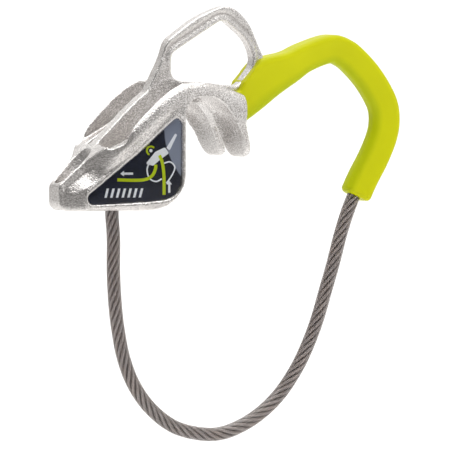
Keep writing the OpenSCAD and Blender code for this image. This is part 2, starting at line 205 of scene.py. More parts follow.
def round_rings(line, r, m):
    """Circles of m points and radius r along a line of (x, z)."""
    turns = np.tile(2 * math.pi * np.arange(m) / m, (len(line), 1))
    return swept(line, r * np.cos(turns), r * np.sin(turns))


def mesh_from(name, points, faces):
    """A mesh of points in millimetres, kept in millimetres, with its faces turned out."""
    mesh = bpy.data.meshes.new(name)
    mesh.from_pydata([tuple(p) for p in points], [], faces)
    bm = bmesh.new()
    bm.from_mesh(mesh)
    bmesh.ops.recalc_face_normals(bm, faces=bm.faces)
    bm.to_mesh(mesh)
    bm.free()
    return mesh


def join_meshes(name, parts):
    """One mesh of several lists of points and faces."""
    points, faces = [], []
    for pts, fcs in parts:
        start = len(points)
        points += [tuple(p) for p in pts]
        faces += [tuple(start + k for k in f) for f in fcs]
    return mesh_from(name, points, faces)


def linked(name, data):
    """A new object in the scene."""
    thing = bpy.data.objects.new(name, data)
    bpy.context.scene.collection.objects.link(thing)
    return thing


def make_piece(name, mesh, material, node=None, sharp=None):
    """A finished piece from a mesh in millimetres, with edges over the sharp angle kept."""
    mesh.transform(Matrix.Scale(MM, 4))
    mesh.shade_smooth()
    if sharp:
        mesh.set_sharp_from_angle(angle=sharp)
    mesh.materials.clear()
    mesh.materials.append(material)
    piece = linked(name, mesh)
    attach(piece, "root")
    if node:
        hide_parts(node)
    return piece


def carved(mesh, cutter_mesh, voxel):
    """The mesh with the cutter taken away, made again from voxels of an even size."""
    holder = linked("work", mesh)
    cutter = linked("cutter", cutter_mesh)
    cut = holder.modifiers.new("cut", "BOOLEAN")
    cut.operation = "DIFFERENCE"
    cut.object = cutter
    cut.solver = "EXACT"
    remesh = holder.modifiers.new("remesh", "REMESH")
    remesh.mode = "VOXEL"
    remesh.voxel_size = voxel
    graph = bpy.context.evaluated_depsgraph_get()
    result = bpy.data.meshes.new_from_object(holder.evaluated_get(graph))
    bpy.data.objects.remove(holder)
    bpy.data.objects.remove(cutter)
    return result


def cad_mesh(node):
    """A welded copy of a CAD node's mesh, in millimetres."""
    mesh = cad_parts[node].data.copy()
    mesh.transform(Matrix.Scale(1 / MM, 4))
    bm = bmesh.new()
    bm.from_mesh(mesh)
    bmesh.ops.remove_doubles(bm, verts=bm.verts, dist=0.002)
    bm.to_mesh(mesh)
    bm.free()
    return mesh


def coordinates(mesh):
    """A mesh's vertices as rows of x, y and z."""
    out = np.empty(len(mesh.vertices) * 3)
    mesh.vertices.foreach_get("co", out)
    return out.reshape(-1, 3)


def set_coordinates(mesh, points):
    """Moves a mesh's vertices."""
    mesh.vertices.foreach_set("co", np.ascontiguousarray(points).ravel())
    mesh.update()


def neighbour_mean(mesh):
    """A function that averages each vertex's neighbours."""
    edges = np.empty(len(mesh.edges) * 2, int)
    mesh.edges.foreach_get("vertices", edges)
    a, b = edges.reshape(-1, 2).T
    n = len(mesh.vertices)
    count = np.bincount(a, minlength=n) + np.bincount(b, minlength=n)

    def mean(p):
        """The middle of each vertex's neighbours, for vertices at p."""
        out = np.empty_like(p)
        for k in range(3):
            out[:, k] = (np.bincount(a, p[b, k], n) + np.bincount(b, p[a, k], n)) / count
        return out

    return mean


def relax(mesh, passes, weight=None):
    """Rounds a mesh's edges without shrinking it, more where weight is near 1."""
    draw_in = 0.55
    push_out = 0.57
    mean = neighbour_mean(mesh)
    p = coordinates(mesh)
    w = np.ones((len(p), 1)) if weight is None else weight[:, None]
    for _ in range(passes):
        p = p + draw_in * w * (mean(p) - p)
        p = p - push_out * w * (mean(p) - p)
    set_coordinates(mesh, p)


def wall_frame(points):
    """Places (u, v, w) on the nearer label wall: rearward, up and outward."""
    dx = points[:, 0] - WALL_BACK_X
    dy = -np.abs(points[:, 1]) + HALF_WIDTH
    c, s = math.cos(-PANEL_ANGLE), math.sin(-PANEL_ANGLE)
    return np.column_stack([dx * c + dy * s, points[:, 2], dx * s - dy * c])


def from_wall(u, v, w, side):
    """A point in the frame from its place on a label wall; side is -1 left, 1 right."""
    c, s = math.cos(-PANEL_ANGLE), math.sin(-PANEL_ANGLE)
    y = u * s - w * c - HALF_WIDTH
    return (WALL_BACK_X + u * c + w * s, -side * y, v)


def label_outline(gap, n=8):
    """A label's outline on its wall, drawn in by the gap, with n steps at each corner."""
    return rounded([(-2.7 - gap * 0.6, -17.4 - gap * 1.6, 2),
                    (-1.5 - gap, -19.4 - gap * 0.4, 2), (-1.5 - gap, -41.6 + gap, 6.5),
                    (-13, UNDERSIDE + 2.6 + gap, 20),
                    (-33.8 + gap * 2.4, UNDERSIDE + 1.7 + gap, 1.8),
                    (-14.6 + gap * 0.6, -28.2 - gap * 0.8, 20)], n)


# ---- Materials ----


class Nodes:
    """Short calls that add and join a material's nodes."""

    def __init__(self, name):
        self.material = bpy.data.materials.new(name)
        self.material.use_nodes = True
        self.tree = self.material.node_tree
        self.shader = self.tree.nodes["Principled BSDF"]

    def add(self, kind, values=None, **settings):
        """A node with its settings, and values for its inputs."""
        node = self.tree.nodes.new(kind)
        for key, value in settings.items():
            setattr(node, key, value)
        for key, value in (values or {}).items():
            node.inputs[key].default_value = value
        return node

    def join(self, a, b):
        """Links an output to an input."""
        self.tree.links.new(a, b)

    def set(self, **values):
        """Plain values for the shader's own inputs, with _ for each space."""
        for key, value in values.items():
            self.shader.inputs[key.replace("_", " ")].default_value = value

    def place(self):
        """Places on the object, in metres."""
        return self.add("ShaderNodeTexCoord").outputs["Object"]

    def noise(self, source, scale, detail, rough):
        """Soft noise from 0 to 1."""
        node = self.add("ShaderNodeTexNoise",
                        {"Scale": scale, "Detail": detail, "Roughness": rough})
        self.join(source, node.inputs["Vector"])
        return node.outputs["Fac"]

    def ramp(self, source, stops):
        """Colours at stops along a value."""
        node = self.add("ShaderNodeValToRGB")
        band = node.color_ramp.elements
        while len(band) < len(stops):
            band.new(0.5)
        for spot, (at, colour) in zip(band, stops):
            spot.position = at
            spot.color = (*colour, 1)
        self.join(source, node.inputs["Fac"])
        return node.outputs["Color"]

    def span(self, source, low, high, start=0.0, stop=1.0):
        """A value moved from start and stop to low and high."""
        node = self.add("ShaderNodeMapRange", {"From Min": start, "From Max": stop,
                                               "To Min": low, "To Max": high})
        self.join(source, node.inputs["Value"])
        return node.outputs["Result"]

    def math(self, kind, a, b):
        """Two values, each a number or an output, put together."""
        node = self.add("ShaderNodeMath", operation=kind)
        for k, value in enumerate((a, b)):
            if isinstance(value, (int, float)):
                node.inputs[k].default_value = value
            else:
                self.join(value, node.inputs[k])
        return node.outputs["Value"]

    def mix(self, amount, a, b, blend="MIX"):
        """Two colours, each three numbers or an output, mixed by an amount."""
        factor, first, second, result = 0, 6, 7, 2
        node = self.add("ShaderNodeMix", data_type="RGBA", blend_type=blend)
        if isinstance(amount, (int, float)):
            node.inputs[factor].default_value = amount
        else:
            self.join(amount, node.inputs[factor])
        for k, value in ((first, a), (second, b)):
            if isinstance(value, tuple):
                node.inputs[k].default_value = (*value, 1)
            else:
                self.join(value, node.inputs[k])
        return node.outputs[result]

    def bump(self, height, strength, distance, onto=None):
        """Fine relief on the shader, over an earlier bump if one is given."""
        node = self.add("ShaderNodeBump", {"Strength": strength, "Distance": distance})
        self.join(height, node.inputs["Height"])
        if onto:
            self.join(onto, node.inputs["Normal"])
        self.join(node.outputs["Normal"], self.shader.inputs["Normal"])
        return node.outputs["Normal"]


def cast_steel():
    """Tumbled, bead-blasted stainless: a fine grain, shinier where edges have rubbed; painted
    shade darkens concave creases.
    """
    m = Nodes("cast_steel")
    place = m.place()
    fine = m.noise(place, 4800, 1, 0.6)
    grain = m.noise(place, 2700, 1, 0.6)
    cloud = m.noise(place, 90, 3, 0.5)
    edge = m.add("ShaderNodeNewGeometry").outputs["Pointiness"]
    worn = m.span(edge, 0.0, 1.0, 0.5, 0.58)
    # Painted shade: concave places (low pointiness) are marked for darkening, as if shaded in
    # creases
    hollow = m.span(edge, 1.0, 0.0, 0.42, 0.5)
    base = m.ramp(cloud, [(0.3, (0.74, 0.715, 0.70)), (0.7, (0.84, 0.82, 0.81))])
    base = m.mix(m.math("MULTIPLY", worn, 0.7), base, (0.86, 0.85, 0.84))
    # Mixes the painted crease shade in, towards a dark brown-grey
    base = m.mix(m.math("MULTIPLY", hollow, 0.8), base, (0.26, 0.235, 0.21))
    speck = m.ramp(grain, [(0.38, (0.66, 0.65, 0.64)), (0.58, (1.0, 1.0, 1.0))])
    base = m.mix(0.9, base, speck, "MULTIPLY")
    m.join(base, m.shader.inputs["Base Color"])
    rough = m.math("SUBTRACT", m.span(cloud, 0.20, 0.30), m.math("MULTIPLY", worn, 0.10))
    m.join(rough, m.shader.inputs["Roughness"])
    m.set(Metallic=1.0)
    first = m.bump(grain, 1.0, 0.00016)
    m.bump(fine, 0.6, 0.00004, first)
    return m.material


def ferrule_steel():
    """Turned and pressed steel with a fine grain."""
    m = Nodes("ferrule_steel")
    grain = m.noise(m.place(), 900, 3, 0.6)
    m.join(m.ramp(grain, [(0.3, (0.50, 0.49, 0.47)), (0.7, (0.66, 0.65, 0.64))]),
           m.shader.inputs["Base Color"])
    m.join(m.span(grain, 0.25, 0.42), m.shader.inputs["Roughness"])
    m.set(Metallic=1.0)
    m.bump(grain, 0.3, 0.00005)
    return m.material


def wire():
    """Drawn wires with warm and cool streaks along each strand."""
    m = Nodes("wire")
    run = m.add("ShaderNodeUVMap", uv_map="strand").outputs["UV"]
    stretch = m.add("ShaderNodeMapping")
    stretch.inputs["Scale"].default_value = (0.06, 1.0, 1.0)
    m.join(run, stretch.inputs["Vector"])
    streak = m.noise(stretch.outputs["Vector"], 9, 3, 0.6)
    tint = m.noise(stretch.outputs["Vector"], 2.5, 2, 0.5)
    base = m.ramp(streak, [(0.3, (0.38, 0.33, 0.31)), (0.52, (0.48, 0.43, 0.41)),
                           (0.72, (0.60, 0.57, 0.565))])
    warm = m.ramp(tint, [(0.35, (0.86, 0.93, 1.0)), (0.62, (1.0, 0.90, 0.80))])
    base = m.mix(0.8, base, warm, "MULTIPLY")
    m.join(base, m.shader.inputs["Base Color"])
    m.join(m.span(streak, 0.60, 0.46), m.shader.inputs["Roughness"])
    m.set(Metallic=0.75)
    m.bump(streak, 0.25, 0.00005)
    return m.material


def clear_coat():
    """A thin clear plastic skin with a slight haze and waviness."""
    m = Nodes("coat")
    wave = m.noise(m.place(), 160, 2, 0.5)
    m.join(m.ramp(wave, [(0.3, (0.93, 0.95, 0.98)), (0.7, (0.99, 0.99, 1.0))]),
           m.shader.inputs["Base Color"])
    m.join(m.span(wave, 0.08, 0.2), m.shader.inputs["Roughness"])
    m.set(Transmission_Weight=1.0, IOR=1.42)
    m.bump(wave, 0.25, 0.0001)
    return m.material


def loop_plastic():
    """Lime moulded polyamide with a soft satin skin, with painted shade on its inner side and
    a little at its outer edge.
    """
    m = Nodes("loop_plastic")
    place = m.place()
    fine = m.noise(place, 2200, 2, 0.5)
    cloud = m.noise(place, 55, 3, 0.55)
    base = m.ramp(cloud, [(0.3, (0.56, 0.57, 0.0)), (0.7, (0.60, 0.61, 0.0))])
    across = m.add("ShaderNodeAttribute", attribute_name="across").outputs["Fac"]
    # Painted shade: the lime is darkened towards the loop's inside, and a little at its outer
    # edge, by the stored share across
    painted_inner_shade = m.ramp(across, [(0.0, (0.84, 0.86, 1.0)), (0.13, (1.0, 1.0, 1.0)),
                           (0.68, (0.97, 0.98, 1.0)), (0.90, (0.76, 0.84, 1.0))])
    m.join(m.mix(1.0, base, painted_inner_shade, "MULTIPLY"), m.shader.inputs["Base Color"])
    m.join(m.span(fine, 0.36, 0.52), m.shader.inputs["Roughness"])
    m.set(Subsurface_Weight=0.12, Subsurface_Scale=0.0015, Specular_IOR_Level=0.15)
    m.shader.inputs["Subsurface Radius"].default_value = (1.0, 0.8, 0.1)
    m.bump(fine, 0.18, 0.00004)
    return m.material


def film():
    """Navy printed film, nearly black, with faint ink mottling and a painted slate-grey
    reflection in its upper rear corner.
    """
    m = Nodes("film")
    place = m.place()
    ink = m.noise(place, 1500, 2, 0.6)
    cloud = m.noise(place, 60, 2, 0.5)
    base = m.ramp(cloud, [(0.35, (0.005, 0.007, 0.018)), (0.7, (0.011, 0.017, 0.042))])
    # Painted reflection: a slate-grey patch mixed into the film where a soft box would show in
    # the dome
    base = m.mix(painted_reflection_patch(m, place), base, (0.25, 0.28, 0.36))
    m.join(base, m.shader.inputs["Base Color"])
    m.join(m.span(ink, 0.35, 0.5), m.shader.inputs["Roughness"])
    m.set(Specular_IOR_Level=0.05)
    m.bump(ink, 0.1, 0.00002)
    return m.material


def painted_reflection_patch(m, place):
    """A painted reflection of a soft box in the film's upper rear corner: behind a curve that
    falls towards the rear edge.
    """
    top_x = -0.0246
    top_z = -0.0215
    bend = 26.0
    soft_edge = 0.0004
    spot = m.add("ShaderNodeSeparateXYZ")
    m.join(place, spot.inputs["Vector"])
    run = m.math("SUBTRACT", spot.outputs["X"], top_x)
    fall = m.math("SUBTRACT", top_z, spot.outputs["Z"])
    curve = m.math("MULTIPLY", m.math("MULTIPLY", fall, fall), bend)
    past = m.math("SUBTRACT", run, curve)
    return m.span(past, 0.0, 1.0, 0.0, soft_edge)


def ink(name, low, high):
    """Printed ink between two near shades."""
    m = Nodes(name)
    dots = m.noise(m.place(), 2500, 2, 0.5)
    m.join(m.ramp(dots, [(0.3, low), (0.7, high)]), m.shader.inputs["Base Color"])
    m.join(m.span(dots, 0.45, 0.6), m.shader.inputs["Roughness"])
    m.set(Specular_IOR_Level=0.05)
    m.bump(dots, 0.1, 0.00002)
    return m.material


def dome():
    """Poured clear resin, glossy with a faint orange peel."""
    m = Nodes("dome")
    peel = m.noise(m.place(), 320, 1, 0.4)
    m.join(m.ramp(peel, [(0.3, (0.96, 0.975, 1.0)), (0.7, (0.99, 0.995, 1.0))]),
           m.shader.inputs["Base Color"])
    m.join(m.span(peel, 0.01, 0.05), m.shader.inputs["Roughness"])
    m.set(Transmission_Weight=1.0, IOR=1.5)
    m.bump(peel, 0.06, 0.0001)
    return m.material


def floor_paint():
    """Matt white."""
    m = Nodes("floor_paint")
    cloud = m.noise(m.place(), 6, 2, 0.5)
    m.join(m.ramp(cloud, [(0.3, (0.88, 0.88, 0.88)), (0.7, (0.90, 0.90, 0.90))]),
           m.shader.inputs["Base Color"])
    m.set(Roughness=0.85)
    return m.material


# ---- Camera, floor and light ----


# The camera's direction, its distance, and the middle and width of what it sees
CAMERA_TURN = math.radians(-30)
CAMERA_RISE = math.radians(2.5)
CAMERA_AWAY = 5.0
SEEN_MIDDLE = (0.0045, 0, -0.0508)
SEEN_WIDTH = 0.135

SUN_POWER = 1.9
SUN_SPREAD = math.radians(60)
FLOOR_GAP = 0.035
FLOOR_REACH = 40
# The area lights face the body, each with its place, size and power
LIT_MIDDLE = (0.0, 0.0, -0.03)
AREA_LIGHTS = [("key", (-0.35, -0.35, 0.9), (0.7, 0.6), 0.65),
               ("strip", (0.38, -0.9, 0.42), (0.34, 0.4), 0.95),
               ("rim", (0.1, 0.9, 0.7), (0.9, 0.5), 0.6)]
# The room's levels: along the horizontal direction ROOM_BRIGHT, and from below to overhead
ROOM_BRIGHT = (0.8, 0.6, 0)
WALL_LEVELS = [(0.04, 0.23), (0.2, 0.27), (0.44, 0.50), (0.56, 0.68), (1, 1)]
HEIGHT_LEVELS = [(0, 0.7), (0.42, 0.25), (0.5, 0), (0.74, 0), (0.9, 0.35), (1, 0.4)]


def make_camera():
    """A long lens from the device's front left, a little above level."""
    turn = CAMERA_TURN
    rise = CAMERA_RISE
    back = Vector((math.sin(turn) * math.cos(rise), -math.cos(turn) * math.cos(rise),
                   math.sin(rise)))
    right = Vector((math.cos(turn), math.sin(turn), 0))
    up = back.cross(right)
    camera = bpy.data.cameras.new("camera")
    camera.sensor_width = 36
    camera.lens = camera.sensor_width * CAMERA_AWAY / SEEN_WIDTH
    camera.clip_end = 100
    holder = linked("camera", camera)
    turned = Matrix((right, up, back)).transposed().to_4x4()
    place = Vector(SEEN_MIDDLE) + back * CAMERA_AWAY
    holder.matrix_world = Matrix.Translation(place) @ turned
    bpy.context.scene.camera = holder


def area_light(name, place, size, power):
    """A white soft box that faces the middle of the body."""
    light = bpy.data.lights.new(name, "AREA")
    light.shape = "RECTANGLE"
    light.size, light.size_y = size
    light.energy = power
    holder = linked(name, light)
    holder.location = place
    facing = Vector(LIT_MIDDLE) - Vector(place)
    holder.rotation_euler = facing.to_track_quat("-Z", "Y").to_euler()


def world_band(tree, source, stops):
    """Warm grey levels along a direction's part, which runs from -1 to 1."""
    share = tree.nodes.new("ShaderNodeMapRange")
    share.inputs["From Min"].default_value = -1
    tree.links.new(source, share.inputs["Value"])
    band = tree.nodes.new("ShaderNodeValToRGB")
    tree.links.new(share.outputs["Result"], band.inputs["Fac"])
    while len(band.color_ramp.elements) < len(stops):
        band.color_ramp.elements.new(0.5)
    for spot, (at, value) in zip(band.color_ramp.elements, stops):
        spot.position = at
        spot.color = (value, value * 0.985, value * 0.965, 1)
    return band.outputs["Color"]


def make_world():
    """White behind the object, and for its reflections a room lit from one side, from
    below and from above, and dark level with the object."""
    world = bpy.data.worlds.new("world")
    bpy.context.scene.world = world
    world.use_nodes = True
    tree = world.node_tree
    place = tree.nodes.new("ShaderNodeTexCoord")
    around = tree.nodes.new("ShaderNodeVectorMath")
    around.operation = "DOT_PRODUCT"
    around.inputs[1].default_value = ROOM_BRIGHT
    tree.links.new(place.outputs["Generated"], around.inputs[0])
    parts = tree.nodes.new("ShaderNodeSeparateXYZ")
    tree.links.new(place.outputs["Generated"], parts.inputs[0])
    walls = world_band(tree, around.outputs["Value"], WALL_LEVELS)
    heights = world_band(tree, parts.outputs["Z"], HEIGHT_LEVELS)
    total = tree.nodes.new("ShaderNodeVectorMath")
    tree.links.new(walls, total.inputs[0])
    tree.links.new(heights, total.inputs[1])
    room = tree.nodes["Background"]
    tree.links.new(total.outputs["Vector"], room.inputs["Color"])
    white = tree.nodes.new("ShaderNodeBackground")
    white.inputs["Color"].default_value = (1, 1, 1, 1)
    ray = tree.nodes.new("ShaderNodeLightPath")
    mix = tree.nodes.new("ShaderNodeMixShader")
    tree.links.new(ray.outputs["Is Camera Ray"], mix.inputs[0])
    tree.links.new(room.outputs[0], mix.inputs[1])
    tree.links.new(white.outputs[0], mix.inputs[2])
    tree.links.new(mix.outputs[0], tree.nodes["World Output"].inputs["Surface"])


def make_stage():
    """A pale floor below the hanging loop, an even overhead light and soft boxes."""
    bpy.context.scene.view_settings.view_transform = "Standard"
    mesh = bpy.data.meshes.new("floor")
    reach = FLOOR_REACH
    mesh.from_pydata([(-reach, -reach, 0), (reach, -reach, 0), (reach, reach, 0),
                      (-reach, reach, 0)], [], [(0, 1, 2, 3)])
    mesh.materials.append(floor_paint())
    floor = linked("floor", mesh)
    floor.location.z = CAD_BOX[0][2] - FLOOR_GAP
    floor.visible_glossy = False
    sun = bpy.data.lights.new("overhead", "SUN")
    sun.energy = SUN_POWER
    sun.angle = SUN_SPREAD
    linked("overhead", sun)
    make_world()
    for name, place, size, power in AREA_LIGHTS:
        area_light(name, place, size, power)


# ---- Rope ----


STRANDS = 6
STRAND_R = 0.60
CORE_R = 0.75
# A strand turns once round the rope in LAY, and its own wires turn faster, the other way
LAY = 18.5
WIRE_LAY = LAY * 0.55
# Half the depth of the dips between a strand's six outer wires, as a share of its radius
WIRE_DIP = 0.09


def rope_line(step):
    """The coated stretch's centreline as (x, z) points, with the distance along it."""
    return evenly(through(ROPE_ROUTE, 8), step)


def core_line(step):
    """The wire rope's whole centreline, which runs on into both ferrules."""
    front = (FRONT_MOUTH[0], FRONT_MOUTH[1] + CORE_RUN)
    rear = (REAR_MOUTH[0] - CORE_RUN, REAR_MOUTH[1])
    return evenly(np.vstack([[front], through(ROPE_ROUTE, 8), [rear]]), step)


def strand_mesh():
    """Six lobed strands laid round a core, as one mesh with a UV run along each strand."""
    line, far = core_line(0.62)
    strand_points = 18
    core_points = 8

    def uv_run(m, strand):
        """Places along and across a strand, set apart by the strand's number."""
        across = np.tile(np.arange(m), len(line)) + strand * 40.0
        return np.column_stack([np.repeat(far, m), across])

    turns = 2 * math.pi * np.arange(strand_points) / strand_points
    lobes = STRAND_R * (1 - WIRE_DIP * (1 - np.cos(6 * turns)))
    spin = turns + 2 * math.pi * far[:, None] / WIRE_LAY
    orbit = ROPE_R - STRAND_R - 0.02
    parts = []
    runs = []
    for k in range(STRANDS):
        laid = -2 * math.pi * far[:, None] / LAY + 2 * math.pi * k / STRANDS
        points = swept(line, orbit * np.cos(laid) + lobes * np.cos(spin),
                       orbit * np.sin(laid) + lobes * np.sin(spin))
        parts.append((points, ring_faces(len(line), strand_points)))
        runs.append(uv_run(strand_points, k))
    parts.append((round_rings(line, CORE_R, core_points), ring_faces(len(line), core_points)))
    runs.append(uv_run(core_points, 0))
    mesh = join_meshes("wire_strands", parts)
    layer = mesh.uv_layers.new(name="strand")
    corners = np.empty(len(mesh.loops), int)
    mesh.loops.foreach_get("vertex_index", corners)
    layer.data.foreach_set("uv", np.vstack(runs)[corners].ravel())
    return mesh


def coat_mesh():
    """The clear skin, round and smooth from end to end."""
    line, _ = rope_line(1.1)
    m = 28
    return mesh_from("clear_coat", round_rings(line, COAT_R, m), ring_faces(len(line), m))


def make_rope():
    """The strands and their coat, as two pieces."""
    strands = make_piece("wire_strands", strand_mesh(), wire(), "wire_rope")
    coat = make_piece("clear_coat", coat_mesh(), clear_coat(), "rope_coat",
                      sharp=math.radians(60))


# ---- Cast body ----


# The hollow in the nose: distance behind its tip, and half widths above and in the slot
HOLLOW = [(0.8, 0.9, 0.7), (1.6, 2.3, 1.8), (3, 2.9, 2.3), (5, 3.25, 2.4),
          (7.5, 3.65, 2.4), (9.4, 3.5, 2.3), (10.8, 2.8, 1.8), (11.8, 1.3, 0.9)]
# The horns' front edge: places along X at depths below the eye's middle
HORN_DEPTHS = [11.6, 13.6, 17.9, 23, 30.2]
HORN_FRONTS = [-7.5, -3.6, -0.9, 1.4, 4.4]
# A horn's middle and half width, and how deep its front face is scooped
HORN_MIDDLE = 8.6
HORN_HALF = 6.4
HORN_SCOOP = 3.0
# The eye's inner outline, and the groove that follows it on both sides of the eye's band
EYE_INSIDE = [(-15.2, 0.9, 3.5), (-15, -6.9, 3), (8.1, -9.2, 4), (13.8, -2.3, 4.5),
              (11.8, 4.1, 12), (3, 11.3, 3.6)]
GROOVE_OUT = 2.2
GROOVE_HALF = 0.75
GROOVE_DEPTH = 0.5
# The raised rim round each label
RIM_OUT = 0.75
RIM_HALF = 0.6
RIM_HEIGHT = 0.4
# The casting's slight waves: how close they come, and how high
WAVE_SCALE = 0.22
WAVE_HEIGHT = 0.07


def hollow_cutter():
    """The flared hollow on top of the nose, down to the slot for a carabiner's tip."""
    slope = (KNEE[1] - NOSE_DEPTH) / (KNEE[0] - NOSE_X)
    points = []
    for run, top, floor in HOLLOW:
        x = NOSE_X + run
        z = NOSE_DEPTH + slope * run
        half = [(floor, z - 7), (floor, z - 4.5), (top * 0.93, z - 1.6), (top, z - 0.3),
                (top + 0.3, z + 3)]
        points += [(x, y, h) for y, h in half] + [(x, -y, h) for y, h in reversed(half)]
    return mesh_from("hollow", points, ring_faces(len(HOLLOW), 2 * len(half)))


def shape_casting(mesh):
    """Scoops the horns, grooves the eye's band and raises a rim round each label."""
    p = coordinates(mesh)
    x, y, z = p.T
    far_y = np.abs(y)
    # The horns: scooped across their width, fading out above, below and behind the front
    across = np.clip(1 - (np.abs(far_y - HORN_MIDDLE) / HORN_HALF) ** 2.6, 0, 1)
    front = 1 - ramp(x - np.interp(-z, HORN_DEPTHS, HORN_FRONTS), 0.6, 1.6)
    along = ramp(-z, 11.9, 17) * ramp(z, -30.4, -19) * ramp(x, -10, -5)
    p[:, 0] += HORN_SCOOP * across * along * front
    # The eye's band: a groove in each flat side, above the body
    d = outline_distance(p[:, [0, 2]], rounded(EYE_INSIDE))
    groove = np.exp(-((d - GROOVE_OUT) / GROOVE_HALF) ** 2)
    on_band = ramp(far_y, 0.9, 1.5) * ramp(z, -3, 1) * (far_y < 2.6)
    p[:, 1] -= np.sign(y) * GROOVE_DEPTH * groove * on_band
    # The label walls: a rim outside each recess
    wall = wall_frame(p)
    d = outline_distance(wall[:, :2], label_outline(0))
    on_face = ramp(wall[:, 2], -0.35, -0.1) * (wall[:, 2] < 1.2)
    rim = RIM_HEIGHT * np.exp(-((d - RIM_OUT) / RIM_HALF) ** 2) * (d > 0.02) * on_face
    p[:, 0] -= rim * math.sin(PANEL_ANGLE)
    p[:, 1] += np.sign(y) * rim * math.cos(PANEL_ANGLE)
    set_coordinates(mesh, p)


def make_casting():
    """The CAD casting with its hollow cut, its edges rounded and its faces shaped."""
    voxel = 0.34
    mesh = carved(cad_mesh("body_casting"), hollow_cutter(), voxel)
    relax(mesh, 16)
    in_eye = ramp(coordinates(mesh)[:, 2], -4, 1)
    relax(mesh, 30, in_eye)
    shape_casting(mesh)
    relax(mesh, 4)
    p = coordinates(mesh)
    waves = np.array([noise.noise(Vector(q) * WAVE_SCALE) for q in p])
    away = np.empty(len(p) * 3)
    mesh.vertices.foreach_get("normal", away)
    set_coordinates(mesh, p + away.reshape(-1, 3) * waves[:, None] * WAVE_HEIGHT)
    make_piece("cast_body", mesh, cast_steel(), "body_casting")


# ---- Thumb loop ----

# Stations (x, z, half height, width share), from the root outward
LOOP_ROOT = [(0.6, -16.4, 6.9, 1), (6.2, -14.1, 7.1, 1), (11.7, -10.8, 7.1, 0.9),
             (17.9, -7.2, 6.6, 0.6), (26, -4, 5.1, 0.25), (32, -1, 4.5, 0.05)]
LOOP_TUBE = [(40.3, 1.4), (45.4, 0), (49.4, -3), (53.6, -7.3), (57.1, -12.2),
             (59.1, -16.4), (59.5, -21), (58.5, -25.6), (55.7, -31.6), (52.1, -37.6),
             (49.3, -43)]
TUBE_HALF = 4.35
TUBE_SIDE = 3.7
ROOT_SIDE = 4.2
# The section narrows towards the inside of the loop, and its outer corners are tighter
OUTER_CORNER = 1.5
INNER_CORNER = 2.3
INNER_SHARE = 0.80


CORNER_POINTS = 9
# The tube draws in by this share over the last stretch before its lower end
END_SHARE = 0.16
END_STRETCH = 1.1
# The line (x, z) that the loop's root stops at: down the eye's rear, then the body's back
ROOT_LINE = [(-30, 30), (16.5, 30), (16.5, 3), (15.4, -1), (12, -4.8), (9, -8),
             (7.9, -10.4), (REAR_X, -11.6), (REAR_X, -20), (5.6, -27), (-30, -40)]


def loop_path(n):
    """The loop's stations joined by a smooth curve, with n steps between neighbours."""
    path = through(LOOP_ROOT + [(x, z, TUBE_HALF, 0) for x, z in LOOP_TUBE], n)
    path[:, 3] = np.maximum(0, path[:, 3])
    return path


def loop_mesh():
    """The moulded loop: a rounded rectangle swept along its stations."""
    path = loop_path(10)
    from_end = np.linalg.norm(path[:, :2] - path[-1, :2], axis=1)
    drawn_in = 1 - END_SHARE * (1 - ramp(from_end, 0, END_STRETCH)) ** 2
    side = TUBE_SIDE + (ROOT_SIDE - TUBE_SIDE) * path[:, 3]
    in_plane = []
    sideways = []
    for quarter in range(4):
        outer = quarter in (0, 3)
        r = OUTER_CORNER if outer else INNER_CORNER
        reach = side if outer else side * INNER_SHARE
        up = (1 if outer else -1) * (path[:, 2] - r)
        out = (1 if quarter < 2 else -1) * (reach - r)
        for a in np.radians(90 * quarter + np.linspace(0, 90, CORNER_POINTS)):
            in_plane.append((up + r * math.cos(a)) * drawn_in)
            sideways.append((out + r * math.sin(a)) * drawn_in)
    points = swept(path[:, :2], np.column_stack(in_plane), np.column_stack(sideways))
    return mesh_from("loop", points, ring_faces(len(path), len(in_plane)))


def root_cutter():
    """Everything in front of the line where the loop's root stops."""
    points = [(x, y, z) for y in (-20, 20) for x, z in ROOT_LINE]
    return mesh_from("root", points, ring_faces(2, len(ROOT_LINE)))


def mark_across(mesh):
    """Stores how far each point lies towards the inside of the loop, from 0 to 1."""
    path = loop_path(6)
    head = headings(path[:, :2])
    p = coordinates(mesh)[:, [0, 2]]
    near = np.concatenate([np.argmin(((part[:, None] - path[None, :, :2]) ** 2).sum(2), axis=1)
                           for part in np.array_split(p, 40)])
    off = p - path[near, :2]
    out = off[:, 1] * head[near, 0] - off[:, 0] * head[near, 1]
    share = np.clip(0.5 - out / path[near, 2] / 2, 0, 1)
    mark = mesh.attributes.new("across", "FLOAT", "POINT")
    mark.data.foreach_set("value", share.astype(np.float32))


def make_loop():
    """The moulded loop, cut to fit the casting at its root."""
    voxel = 0.4
    mesh = carved(loop_mesh(), root_cutter(), voxel)
    relax(mesh, 14)
    mark_across(mesh)
    make_piece("moulded_loop", mesh, loop_plastic(), "thumb_loop")


# ---- Labels ----

# How high each ink stands on the film, and how far it sinks in
WHITE_HEIGHT = 0.03
LIME_HEIGHT = 0.045
INK_SINK = 0.02
# The dome's crown sits over this place (u, v) on the wall
DOME_MIDDLE = (-9.5, -34.0)


def prism(outline, low, high, side):
    """A flat shape on a label wall, as points and faces."""
    points = [from_wall(u, v, w, side) for w in (low, high) for u, v in outline]
    return points, ring_faces(2, len(outline))


def ribbon(points, width):
    """The outline of a line of even width through the points."""
    line, _ = evenly(through(points, 8), 0.25)
    head = headings(line)
    side = np.column_stack([-head[:, 1], head[:, 0]]) * width / 2
    return [tuple(q) for q in line + side] + [tuple(q) for q in (line - side)[::-1]]


